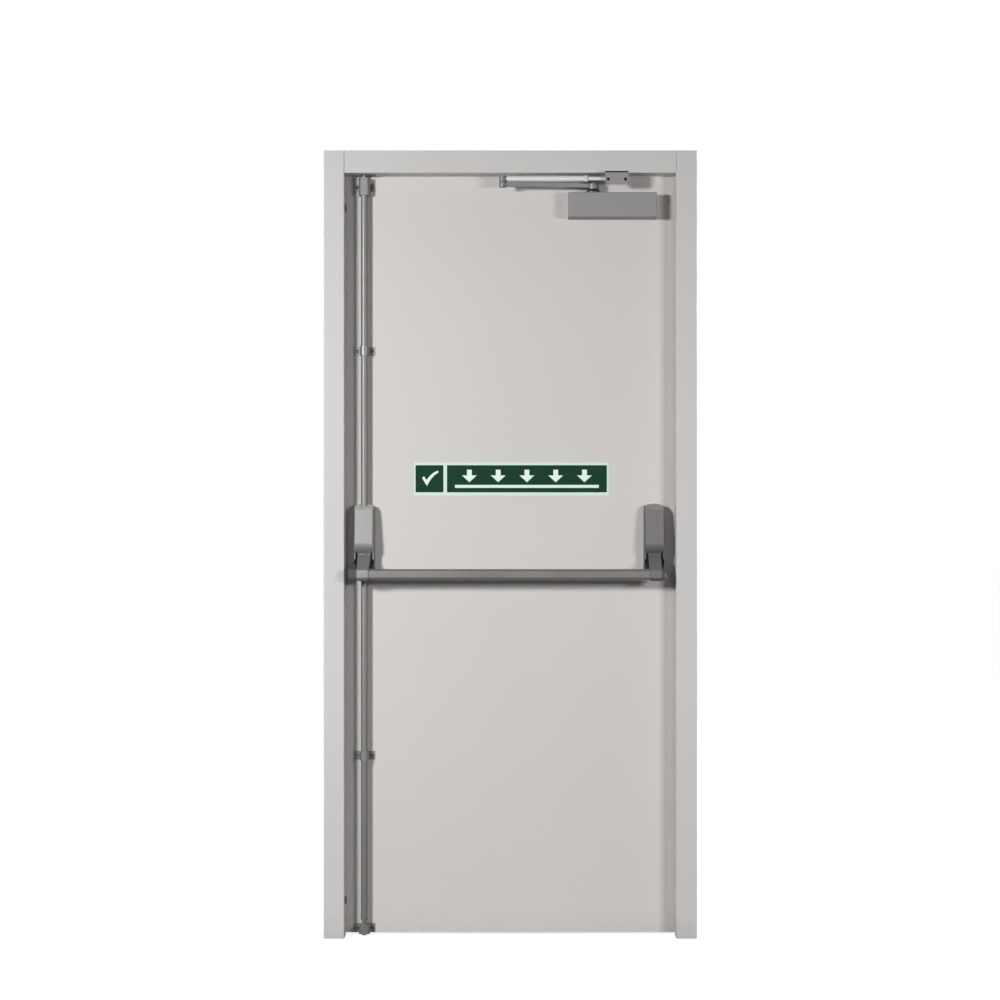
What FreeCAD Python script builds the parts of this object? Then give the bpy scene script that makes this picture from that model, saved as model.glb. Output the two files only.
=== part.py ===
import FreeCAD, Part
import math
import os

from FreeCAD import Vector

# Steel fire exit door: pressed frame, flush leaf, push bar with two vertical
# bolts, and an overhead closer. Millimetres, +Z up, +Y is the way it opens.
# The origin is on the wall face of the hinge jamb, at floor level.

# Frame
overall_width = 995.0
overall_height = 2100.0
frame_depth = 100.0
frame_sheet = 1.5
frame_bend = 2.5
jamb_face = 55.0
head_face = 60.0
rebate_step = 20.0
backfold = 15.0
butt_gap = 0.5
strap_sheet = 2.0
strap_height = 60.0
fixing_hole_d = 11.0
fixing_access_d = 20.0
fixing_setback = 25.0
fixing_from_floor = 98.0
fixing_from_top = 150.0

# Leaf
leaf_thickness = 45.0
leaf_sheet = 1.2
leaf_seam = 1.0
hinge_gap = 5.0
latch_gap = 6.5
head_gap = 5.0
floor_gap = 5.0
seal_gap = 6.0
seal_thickness = 5.5
seal_width = 12.0
seal_lip = 3.0

# Hinges
hinge_height = 100.0
hinge_plate = 2.0
hinge_plate_width = 34.0
knuckle_r = 7.0
hinge_pin_r = 3.0
hinge_pin_offset = 8.0
hinge_pin_fit = 0.1
knuckle_count = 2
knuckle_gap = 0.5
hinge_end_distance = 200.0

# Vertical rods, bolts and their guides
rod_from_latch_jamb = 51.0
rod_d = 18.0
rod_wall = 3.0
rod_standoff = 18.0
rod_fit = 0.3
bolt_d = 11.8
bolt_seat = 30.0
bolt_throw = 11.0
keeper_sheet = 2.0
keeper_length = 60.0
keeper_width = 22.0
keeper_fit = 0.9
guide_width = 54.0
guide_height = 23.0
guide_sheet = 2.5
upper_guide_drop = 471.0
lower_guide_z = 482.0
top_guide_height = 46.0
top_guide_width = 30.0
top_guide_gap = 6.0
bottom_guide_height = 24.0
bottom_guide_rise = 6.0
bottom_bolt_rise = 2.0
bottom_rod_rise = 42.0
top_rod_entry = 30.0
bottom_rod_entry = 6.0

# Push bar heads
head_base_width = 56.0
head_base_sheet = 2.5
head_base_height = 201.0
head_top_above_bar = 188.0
head_arch_rise = 7.0
hinge_head_from_jamb = 56.0
cover_width = 53.0
cover_height = 132.0
cover_top_depth = 17.0
cover_brow_depth = 34.0
cover_brow_drop = 16.0
cover_chin_depth = 44.0
cover_chin_rise = 26.0
cover_chin_bulge = 2.2
cover_lip_depth = 35.5
cover_wall = 2.2
cover_round = 5.0
cheek_sheet = 2.5
cheek_gap = 0.5
head_end_wall = 3.0
pivot_above_bar = 87.0
pivot_standoff = 22.0
pivot_pin_r = 5.0
pivot_fit = 0.15
lever_boss_r = 9.0
lever_thickness = 8.0
lever_top_width = 35.0
lever_foot_width = 30.0
lever_knee_above_bar = 52.0
lever_knee_standoff = 24.0
socket_wall = 3.0
socket_fit = 0.1

# Push bar
bar_z = 971.0
bar_standoff = 80.0
bar_height = 29.0
bar_depth = 22.0
bar_corner = 8.0
bar_wall = 2.0
bar_latch_overhang = 34.0
bar_hinge_overhang = 20.0
bar_cap = 3.0

# Closer
closer_from_hinge = 106.0
closer_length = 236.0
closer_height = 66.0
closer_depth = 50.0
closer_top_gap = 50.0
closer_wall = 2.0
closer_round = 2.0
spindle_from_end = 67.0
spindle_standoff = 28.0
spindle_r = 8.0
spindle_clear = 1.0
arm_rise = 10.0
arm_thickness = 14.0
arm_length = 245.0
arm_reach_back = 34.0
arm_width = 20.0
arm_tip_width = 14.0
arm_boss_r = 15.0
elbow_boss_r = 9.0
elbow_gap = 1.0
arm_nut_r = 10.0
arm_nut_height = 7.0
forearm_tube_r = 7.6
forearm_tube_share = 0.72
forearm_rod_r = 5.0
forearm_eye_r = 11.0
forearm_eye_height = 16.0
bracket_width = 62.0
bracket_sheet = 4.0
bracket_apron = 30.0
bracket_corner = 12.0
bracket_reach = 29.0
bracket_back = 65.0
bracket_pivot_standoff = 64.0
bracket_pivot_x = -215.0
bracket_pad = 20.0
bracket_pin_r = 5.0
bracket_pin_end = 5.0
bracket_fit = 0.3

# Sign
sign_width = 524.0
sign_height = 89.0
sign_sheet = 1.0
sign_z = 1225.0
sign_from_latch_jamb = 184.0

# How far a cutting tool runs past the face that it opens
past = 1.0

# Planes and lines that the pieces share
front_y = -backfold / 2
rear_y = front_y + frame_depth
leaf_y = rear_y - leaf_thickness
stop_y = leaf_y - seal_gap
rebate_face = jamb_face - rebate_step
soffit_z = overall_height - head_face
rebate_top_z = soffit_z + rebate_step
latch_reveal_x = -overall_width + jamb_face
hinge_reveal_x = -jamb_face
latch_rebate_x = -overall_width + rebate_face
hinge_rebate_x = -rebate_face
leaf_left = latch_rebate_x + latch_gap
leaf_right = hinge_rebate_x - hinge_gap
leaf_bottom = floor_gap
leaf_top = rebate_top_z - head_gap
rod_x = latch_reveal_x + rod_from_latch_jamb
rod_y = leaf_y - rod_standoff
rod_r = rod_d / 2
bolt_r = bolt_d / 2
keeper_z = soffit_z - keeper_sheet
hinge_pin_x = hinge_rebate_x - hinge_gap / 2
hinge_pin_y = rear_y + hinge_pin_offset
hinge_head_x = hinge_reveal_x - hinge_head_from_jamb
head_top_z = bar_z + head_top_above_bar
head_base_z = head_top_z - head_base_height
cover_foot_z = head_top_z - cover_height
pivot_y = leaf_y - pivot_standoff
pivot_z = bar_z + pivot_above_bar
lever_knee_z = bar_z + lever_knee_above_bar
bar_y = leaf_y - bar_standoff
closer_right = -closer_from_hinge
closer_left = closer_right - closer_length
closer_top = soffit_z - closer_top_gap
spindle_x = closer_left + spindle_from_end
spindle_y = leaf_y - spindle_standoff
arm_z = closer_top + arm_rise
elbow_x = spindle_x - math.sqrt(arm_length ** 2 - arm_reach_back ** 2)
elbow_y = spindle_y - arm_reach_back
forearm_z = arm_z + arm_thickness + elbow_gap
bracket_pivot_y = leaf_y - bracket_pivot_standoff


def block(x0, x1, y0, y1, z0, z1):
    return Part.makeBox(x1 - x0, y1 - y0, z1 - z0, Vector(x0, y0, z0))


def upright(x, y, z0, z1, radius):
    return Part.makeCylinder(radius, z1 - z0, Vector(x, y, z0))


def crossbar(x0, x1, y, z, radius):
    return Part.makeCylinder(radius, x1 - x0, Vector(x0, y, z), Vector(1, 0, 0))


def polygon_prism(points, along):
    face = Part.Face(Part.makePolygon(points + [points[0]]))
    return face.extrude(along)


def side_prism(outline, x0, x1):
    # outline is a list of (y, z) points
    points = [Vector(x0, y, z) for y, z in outline]
    return polygon_prism(points, Vector(x1 - x0, 0, 0))


def front_prism(outline, y0, y1):
    # outline is a list of (x, z) points
    points = [Vector(x, y0, z) for x, z in outline]
    return polygon_prism(points, Vector(0, y1 - y0, 0))


def bent_run(points, radii):
    # straight runs with a right-angle bend at each inner point, sharp where its radius is 0
    edges = []
    start = points[0]
    for corner, after, radius in zip(points[1:-1], points[2:], radii):
        into = (corner - start).normalize()
        out = (after - corner).normalize()
        bend_start = corner - into * radius
        bend_end = corner + out * radius
        edges.append(Part.LineSegment(start, bend_start).toShape())
        if radius:
            centre = bend_start + out * radius
            middle = centre + (corner - centre).normalize() * radius
            edges.append(Part.Arc(bend_start, middle, bend_end).toShape())
        start = bend_end
    edges.append(Part.LineSegment(start, points[-1]).toShape())
    return edges


def folded_section(face_width, place):
    # open pressed section: backfold, face, reveal, stop, rebate, rear face, backfold
    # place turns (distance from the wall, y) into a point
    sheet = frame_sheet
    skin = [
        (0, front_y + backfold),
        (0, front_y),
        (face_width, front_y),
        (face_width, stop_y),
        (face_width - rebate_step, stop_y),
        (face_width - rebate_step, rear_y),
        (0, rear_y),
        (0, rear_y - backfold),
    ]
    inside = [
        (sheet, front_y + backfold),
        (sheet, front_y + sheet),
        (face_width - sheet, front_y + sheet),
        (face_width - sheet, stop_y - sheet),
        (face_width - rebate_step - sheet, stop_y - sheet),
        (face_width - rebate_step - sheet, rear_y - sheet),
        (sheet, rear_y - sheet),
        (sheet, rear_y - backfold),
    ]
    outer = [place(u, v) for u, v in skin]
    inner = [place(u, v) for u, v in inside]
    # the bends are round outside, and sharp inside and behind the seal, where nothing shows them
    edges = bent_run(outer, [frame_bend, frame_bend, frame_bend, 0, frame_bend, frame_bend])
    back = [outer[-1]] + inner[::-1] + [outer[0]]
    edges += [Part.LineSegment(a, b).toShape() for a, b in zip(back, back[1:])]
    return Part.Face(Part.Wire(edges))


def fixing_heights():
    return [fixing_from_floor, overall_height - fixing_from_top]


def jamb(wall_x, inward):
    def place(u, v):
        return Vector(wall_x + inward * u, v, 0)

    shape = folded_section(jamb_face, place).extrude(Vector(0, 0, overall_height))
    reveal_x = wall_x + inward * jamb_face
    for z in fixing_heights():
        start = Vector(reveal_x - 2 * frame_sheet, front_y + fixing_setback, z)
        shape = shape.cut(Part.makeCylinder(fixing_access_d / 2, 4 * frame_sheet, start, Vector(1, 0, 0)))
    return shape


def fixing_straps(wall_x, inward):
    # plates welded behind the backfolds, each with a wall bolt hole
    near = wall_x + inward * frame_sheet
    far = near + inward * strap_sheet
    low_x, high_x = min(near, far), max(near, far)
    straps = []
    for z in fixing_heights():
        plate = block(low_x, high_x, front_y + frame_bend + frame_sheet,
                      rear_y - frame_bend - frame_sheet, z - strap_height / 2, z + strap_height / 2)
        hole_start = low_x - strap_sheet
        hole = crossbar(hole_start, high_x + strap_sheet, front_y + fixing_setback, z, fixing_hole_d / 2)
        straps.append(plate.cut(hole))
    return Part.makeCompound(straps)


def frame_head():
    left = latch_rebate_x + butt_gap
    right = hinge_rebate_x - butt_gap

    def place(u, v):
        return Vector(left, v, overall_height - u)

    shape = folded_section(head_face, place).extrude(Vector(right - left, 0, 0))
    # the ends are notched round the stops of the jambs
    margin = frame_sheet
    for x0, x1 in ((left - margin, latch_reveal_x + butt_gap), (hinge_reveal_x - butt_gap, right + margin)):
        notch = block(x0, x1, front_y - margin, stop_y + butt_gap, soffit_z - margin, overall_height + margin)
        shape = shape.cut(notch)
    hole_r = bolt_r + keeper_fit
    shape = shape.cut(upright(rod_x, rod_y, soffit_z - margin, soffit_z + 2 * frame_sheet, hole_r))
    return shape


def seal_outline(base, across, tip):
    # flat back against the stop, rounded lip towards the leaf; points run across, then out
    half = seal_width / 2
    lip = seal_lip / 2
    return [
        (base, across - half),
        (tip - seal_lip, across - half),
        (tip, across - lip),
        (tip, across + lip),
        (tip - seal_lip, across + half),
        (base, across + half),
    ]


def upright_seal(stop_x):
    outline = seal_outline(stop_y, stop_x, stop_y + seal_thickness)
    points = [Vector(x, y, 0) for y, x in outline]
    top = soffit_z + (rebate_step - seal_width) / 2
    return polygon_prism(points, Vector(0, 0, top))


def head_seal(left, right):
    z = soffit_z + rebate_step / 2
    return side_prism(seal_outline(stop_y, z, stop_y + seal_thickness), left, right)


def keeper():
    plate = block(rod_x - keeper_length / 2, rod_x + keeper_length / 2, rod_y - keeper_width / 2,
                  rod_y + keeper_width / 2, keeper_z, soffit_z)
    return plate.cut(upright(rod_x, rod_y, keeper_z - past, soffit_z + past, bolt_r + keeper_fit))


def hinge_halves(centre_z):
    # lift-off hinge: the frame half carries the pin and the lower knuckle, the door half the upper
    bottom = centre_z - hinge_height / 2
    pitch = hinge_height / knuckle_count
    plate_y = rear_y - hinge_plate_width
    frame_x = hinge_rebate_x - hinge_plate
    door_x = leaf_right
    frame_half = block(frame_x, frame_x + hinge_plate, plate_y, rear_y, bottom, bottom + hinge_height)
    door_half = block(door_x, door_x + hinge_plate, plate_y, rear_y, bottom, bottom + hinge_height)
    for index in range(knuckle_count):
        low = bottom + index * pitch + knuckle_gap / 2
        high = low + pitch - knuckle_gap
        barrel = upright(hinge_pin_x, hinge_pin_y, low, high, knuckle_r)
        if index % 2 == 0:
            web = block(frame_x, frame_x + hinge_plate, rear_y, hinge_pin_y, low, high)
            frame_half = frame_half.fuse([barrel, web])
        else:
            web = block(door_x, door_x + hinge_plate, rear_y, hinge_pin_y, low, high)
            door_half = door_half.fuse([barrel, web])
    pin_low = bottom + knuckle_gap / 2
    pin_high = bottom + hinge_height - knuckle_gap / 2
    bore = upright(hinge_pin_x, hinge_pin_y, bottom, bottom + hinge_height, hinge_pin_r + hinge_pin_fit)
    pin = upright(hinge_pin_x, hinge_pin_y, pin_low, pin_high, hinge_pin_r)
    return frame_half.fuse(pin).removeSplitter(), door_half.cut(bore).removeSplitter()


def leaf_tray(outer_y, inward):
    # a flat skin with its four edges turned in, up to the seam at mid thickness
    depth = (leaf_thickness - leaf_seam) / 2
    inner_y = outer_y + inward * leaf_sheet
    edge_y = outer_y + inward * depth
    y0, y1 = min(outer_y, edge_y), max(outer_y, edge_y)
    shell = block(leaf_left, leaf_right, y0, y1, leaf_bottom, leaf_top)
    c0, c1 = min(inner_y, edge_y + inward), max(inner_y, edge_y + inward)
    hollow = block(leaf_left + leaf_sheet, leaf_right - leaf_sheet, c0, c1,
                   leaf_bottom + leaf_sheet, leaf_top - leaf_sheet)
    return shell.cut(hollow)


def leaf_core():
    return block(leaf_left + leaf_sheet, leaf_right - leaf_sheet, leaf_y + leaf_sheet, rear_y - leaf_sheet,
                 leaf_bottom + leaf_sheet, leaf_top - leaf_sheet)


def rod_guide(centre_z):
    # pressed saddle over the rod with a screw flange each side
    low = centre_z - guide_height / 2
    high = centre_z + guide_height / 2
    inner = rod_r + rod_fit
    outer = inner + guide_sheet
    flange = block(rod_x - guide_width / 2, rod_x + guide_width / 2, leaf_y - guide_sheet, leaf_y, low, high)
    saddle = block(rod_x - outer, rod_x + outer, rod_y, leaf_y, low, high)
    crown = upright(rod_x, rod_y, low, high, outer)
    room = block(rod_x - inner, rod_x + inner, rod_y, leaf_y + guide_sheet, low, high)
    shape = flange.fuse([saddle, crown]).cut(room).cut(upright(rod_x, rod_y, low, high, inner))
    return shape.removeSplitter()


def bolt_housing(low, high, rod_from, rod_to):
    # block with a rounded nose, bored for the bolt and counterbored where the rod runs in
    half = top_guide_width / 2
    flange_low = (low + high - guide_height) / 2
    flange = block(rod_x - guide_width / 2, rod_x + guide_width / 2, leaf_y - guide_sheet, leaf_y,
                   flange_low, flange_low + guide_height)
    body = block(rod_x - half, rod_x + half, rod_y, leaf_y, low, high)
    nose = upright(rod_x, rod_y, low, high, half)
    front = block(rod_x - half, rod_x + half, rod_y - rod_r - guide_sheet - rod_fit, leaf_y, low, high)
    shape = flange.fuse([body, nose.common(front)])
    shape = shape.cut(upright(rod_x, rod_y, low, high, bolt_r + rod_fit))
    if rod_to > rod_from:
        shape = shape.cut(upright(rod_x, rod_y, rod_from, rod_to, rod_r + rod_fit))
    return shape.removeSplitter()


def hollow_rod(low, high):
    tube = upright(rod_x, rod_y, low, high, rod_r)
    return tube.cut(upright(rod_x, rod_y, low, high, rod_r - rod_wall))


def bolt(rod_end_z, tip_z):
    # round bolt seated inside the end of the rod
    toward = 1 if tip_z > rod_end_z else -1
    seat_z = rod_end_z - toward * bolt_seat
    return upright(rod_x, rod_y, min(seat_z, tip_z), max(seat_z, tip_z), bolt_r)


def arched_plate(centre_x, half, low, crown, y0, y1):
    # upright plate whose top edge is an arc between the two sides
    side_z = crown - head_arch_rise
    corners = [Vector(centre_x - half, y0, side_z), Vector(centre_x - half, y0, low),
               Vector(centre_x + half, y0, low), Vector(centre_x + half, y0, side_z)]
    edges = [Part.LineSegment(a, b).toShape() for a, b in zip(corners, corners[1:])]
    edges.append(Part.Arc(corners[3], Vector(centre_x, y0, crown), corners[0]).toShape())
    return Part.Face(Part.Wire(edges)).extrude(Vector(0, y1 - y0, 0))


def cover_solid(centre_x, inset, side_round):
    # sloping top and drafted front with rounded sides, crossed with the chin and the arched front view
    back = leaf_y - head_base_sheet
    half = cover_width / 2 - inset
    x0 = centre_x - half
    top = Vector(x0, leaf_y - cover_top_depth + inset, head_top_z - inset)
    brow = Vector(x0, leaf_y - cover_brow_depth + inset, head_top_z - cover_brow_drop - inset / 2)
    chin = Vector(x0, leaf_y - cover_chin_depth + inset, cover_foot_z + cover_chin_rise)
    toe = chin + (chin - brow) * (cover_chin_rise / (brow.z - chin.z))
    lip = Vector(x0, leaf_y - cover_lip_depth + inset, cover_foot_z)
    bulge = (chin + lip) / 2 - Vector(0, cover_chin_bulge, 0)
    under = Vector(x0, back, cover_foot_z)
    rear = Vector(x0, back, head_top_z - inset)
    solid = polygon_prism([rear, top, brow, toe, under], Vector(2 * half, 0, 0))
    if side_round:
        edges = [e for e in solid.Edges if e.BoundBox.XLength < inset + side_round
                 and e.BoundBox.YMax < back - side_round / 2 and e.BoundBox.ZLength > side_round]
        solid = solid.makeFillet(side_round, edges)
    edges = [Part.Arc(chin, bulge, lip).toShape()]
    edges += [Part.LineSegment(a, b).toShape() for a, b in ((lip, under), (under, rear), (rear, top))]
    edges.append(Part.LineSegment(top, top - Vector(0, cover_chin_depth, 0)).toShape())
    edges.append(Part.LineSegment(top - Vector(0, cover_chin_depth, 0), chin).toShape())
    chin_cut = Part.Face(Part.Wire(edges)).extrude(Vector(2 * half, 0, 0))
    front_y0 = leaf_y - 2 * cover_chin_depth
    arch = arched_plate(centre_x, half, cover_foot_z, head_top_z - inset, front_y0, leaf_y)
    return solid.common(chin_cut).common(arch)


def head_cover(centre_x, with_rod):
    shell = cover_solid(centre_x, 0, cover_round)
    shell = shell.cut(cover_solid(centre_x, cover_wall, 0))
    if with_rod:
        slot_r = rod_r + rod_fit
        low = head_top_z - 2 * cover_brow_drop
        high = head_top_z + past
        top = upright(rod_x, rod_y, low, high, slot_r)
        slot = block(rod_x - slot_r, rod_x + slot_r, rod_y, leaf_y, low, high)
        shell = shell.cut(top.fuse(slot))
    return shell.removeSplitter()


def head_body(centre_x, with_rod):
    # base plate, two cheeks with a top wall, a foot wall, and the pivot pin that carries the lever
    half = head_base_width / 2
    base = arched_plate(centre_x, half, head_base_z, head_top_z, leaf_y - head_base_sheet, leaf_y)
    cheek_out = cover_width / 2 - cover_wall - cheek_gap
    cheek_in = cheek_out - cheek_sheet
    top = head_top_z - head_arch_rise - cover_wall - cheek_gap
    brow = leaf_y - cover_top_depth
    chin = pivot_y - lever_boss_r
    chin_z = cover_foot_z + cover_wall
    outline = [
        (leaf_y - head_base_sheet, top),
        (brow, top),
        (chin, pivot_z + lever_boss_r),
        (chin, chin_z),
        (leaf_y - head_base_sheet, chin_z),
    ]
    shape = base
    for x0, x1 in ((-cheek_out, -cheek_in), (cheek_in, cheek_out)):
        shape = shape.fuse(side_prism(outline, centre_x + x0, centre_x + x1))
    wall = block(centre_x - cheek_in, centre_x + cheek_in, brow, leaf_y - head_base_sheet,
                 top - head_end_wall, top)
    foot = block(centre_x - cheek_in, centre_x + cheek_in, rod_y, leaf_y - head_base_sheet,
                 head_base_z, head_base_z + head_end_wall)
    pin = crossbar(centre_x - cheek_in, centre_x + cheek_in, pivot_y, pivot_z, pivot_pin_r)
    shape = shape.fuse([wall, foot, pin])
    if with_rod:
        room = rod_r + rod_fit
        shape = shape.cut(upright(rod_x, rod_y, head_base_z - past, head_base_z + 2 * head_end_wall, room))
        shape = shape.cut(upright(rod_x, rod_y, top - 2 * head_end_wall, top + past, room))
    return shape.removeSplitter()


def bar_section(x0, x1, grow):
    # rounded bar outline, grown outwards by the given amount
    half_y = bar_depth / 2 + grow
    half_z = bar_height / 2 + grow
    shape = block(x0, x1, bar_y - half_y, bar_y + half_y, bar_z - half_z, bar_z + half_z)
    edges = [e for e in shape.Edges if abs(e.tangentAt(e.FirstParameter).x) > 0.9]
    return shape.makeFillet(bar_corner + grow, edges)


def lever(centre_x):
    # cranked arm from the pivot to the bar: the side outline crossed with the front outline
    half = lever_thickness / 2
    knee_y = leaf_y - lever_knee_standoff
    reach = bar_depth / 2
    side = [
        (pivot_y + half, pivot_z),
        (knee_y + half, lever_knee_z - half),
        (bar_y + reach, bar_z),
        (bar_y - reach, bar_z),
        (bar_y - reach / 2, bar_z + bar_height / 2),
        (knee_y - half, lever_knee_z),
        (pivot_y - half, pivot_z),
    ]
    top_half = lever_top_width / 2
    foot_half = lever_foot_width / 2
    foot_z = bar_z - bar_height / 2 - socket_wall
    front = [
        (centre_x - top_half, pivot_z + lever_boss_r),
        (centre_x + top_half, pivot_z + lever_boss_r),
        (centre_x + top_half, cover_foot_z),
        (centre_x + foot_half, bar_z + bar_height / 2 + socket_wall),
        (centre_x + foot_half, foot_z),
        (centre_x - foot_half, foot_z),
        (centre_x - foot_half, bar_z + bar_height / 2 + socket_wall),
        (centre_x - top_half, cover_foot_z),
    ]
    arm = side_prism(side, centre_x - top_half, centre_x + top_half)
    boss = crossbar(centre_x - top_half, centre_x + top_half, pivot_y, pivot_z, lever_boss_r)
    socket = bar_section(centre_x - foot_half, centre_x + foot_half, socket_wall)
    outline = front_prism(front, bar_y - bar_depth, leaf_y)
    shape = arm.fuse(boss).common(outline).fuse(socket)
    shape = shape.cut(bar_section(centre_x - top_half, centre_x + top_half, socket_fit))
    bore = crossbar(centre_x - top_half, centre_x + top_half, pivot_y, pivot_z, pivot_pin_r + pivot_fit)
    return shape.cut(bore).removeSplitter()


def bar_ends():
    return rod_x - bar_latch_overhang, hinge_head_x + bar_hinge_overhang


def push_bar_tube():
    left, right = bar_ends()
    return bar_section(left, right, 0).cut(bar_section(left, right, -bar_wall))


def bar_end_cap(x0, outward):
    x1 = x0 + outward * bar_cap
    return bar_section(min(x0, x1), max(x0, x1), 0)


def closer_body():
    inset = closer_wall
    shape = block(closer_left + inset, closer_right - inset, leaf_y - closer_depth + inset, leaf_y,
                  closer_top - closer_height + inset, closer_top - inset)
    return shape.fuse(upright(spindle_x, spindle_y, closer_top - inset, arm_z, spindle_r)).removeSplitter()


def closer_cover():
    front = leaf_y - closer_depth
    shell = block(closer_left, closer_right, front, leaf_y, closer_top - closer_height, closer_top)
    edges = [e for e in shell.Edges if max(v.Y for v in e.Vertexes) < front + closer_wall]
    shell = shell.makeFillet(closer_round, edges)
    room = block(closer_left + closer_wall, closer_right - closer_wall, front + closer_wall, leaf_y + past,
                 closer_top - closer_height + closer_wall, closer_top - closer_wall)
    gap_r = spindle_r + spindle_clear
    gap = upright(spindle_x, spindle_y, closer_top - 2 * closer_wall, closer_top + past, gap_r)
    return shell.cut(room).cut(gap)


def level_bar(start, end, start_half, end_half, low, high):
    # flat tapered bar between two upright axes
    along = (end - start).normalize()
    side = Vector(-along.y, along.x, 0)
    corners = [start + side * start_half, end + side * end_half,
               end - side * end_half, start - side * start_half]
    lifted = [Vector(c.x, c.y, low) for c in corners]
    return polygon_prism(lifted, Vector(0, 0, high - low))


def closer_main_arm():
    spindle = Vector(spindle_x, spindle_y, 0)
    elbow = Vector(elbow_x, elbow_y, 0)
    top = arm_z + arm_thickness
    shape = level_bar(spindle, elbow, arm_width / 2, arm_tip_width / 2, arm_z + arm_thickness / 4, top)
    shape = shape.fuse(upright(spindle_x, spindle_y, arm_z, top, arm_boss_r))
    shape = shape.fuse(upright(elbow_x, elbow_y, arm_z, top, elbow_boss_r))
    return shape.removeSplitter()


def arm_nut():
    low = arm_z + arm_thickness
    corners = [Vector(spindle_x + arm_nut_r * math.cos(math.radians(60 * i)),
                      spindle_y + arm_nut_r * math.sin(math.radians(60 * i)), low) for i in range(6)]
    return polygon_prism(corners, Vector(0, 0, arm_nut_height))


def forearm_line():
    pivot = Vector(bracket_pivot_x, bracket_pivot_y, forearm_z + forearm_eye_height / 2)
    elbow = Vector(elbow_x, elbow_y, pivot.z)
    return elbow, pivot, (pivot - elbow).normalize(), (pivot - elbow).Length


def forearm_tube():
    elbow, pivot, along, length = forearm_line()
    tube = Part.makeCylinder(forearm_tube_r, length * forearm_tube_share, elbow, along)
    bore = Part.makeCylinder(forearm_rod_r, length * forearm_tube_share, elbow, along)
    boss = upright(elbow_x, elbow_y, forearm_z, forearm_z + forearm_eye_height, elbow_boss_r)
    return tube.cut(bore).fuse(boss).removeSplitter()


def forearm_rod():
    elbow, pivot, along, length = forearm_line()
    overlap = length * (1 - forearm_tube_share)
    start = elbow + along * (length * forearm_tube_share - overlap / 2)
    rod = Part.makeCylinder(forearm_rod_r, (pivot - start).Length, start, along)
    eye = upright(pivot.x, pivot.y, forearm_z, forearm_z + forearm_eye_height, forearm_eye_r)
    bore_r = bracket_pin_r + bracket_fit
    bore = upright(pivot.x, pivot.y, forearm_z - past, forearm_z + forearm_eye_height + past, bore_r)
    return rod.fuse(eye).cut(bore).removeSplitter()


def closer_bracket():
    # plate under the soffit that stands out past the frame, with an apron in front
    # and the pivot of the forearm behind it
    plate_z = soffit_z - bracket_sheet
    x0 = bracket_pivot_x - bracket_width / 2
    x1 = x0 + bracket_width
    front = front_y - bracket_reach
    plate = block(x0, x1, front, front + bracket_back, plate_z, soffit_z)
    apron_z = plate_z - bracket_apron
    apron = block(x0, x1, front, front + bracket_sheet, apron_z, soffit_z)
    corners = [e for e in apron.Edges if e.BoundBox.YLength > bracket_sheet / 2 and e.BoundBox.ZMax < plate_z]
    plate = plate.fuse(apron.makeFillet(bracket_corner, corners))
    eye_top = forearm_z + forearm_eye_height
    half = bracket_pad / 2
    pad = block(bracket_pivot_x - half, bracket_pivot_x + half,
                bracket_pivot_y - half, bracket_pivot_y + half, eye_top + bracket_fit, plate_z)
    pin = upright(bracket_pivot_x, bracket_pivot_y, forearm_z - bracket_pin_end, plate_z, bracket_pin_r)
    return plate.fuse([pad, pin]).removeSplitter()


def sign_plate():
    left = latch_reveal_x + sign_from_latch_jamb
    low = sign_z - sign_height / 2
    return block(left, left + sign_width, leaf_y - sign_sheet, leaf_y, low, low + sign_height)


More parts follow.
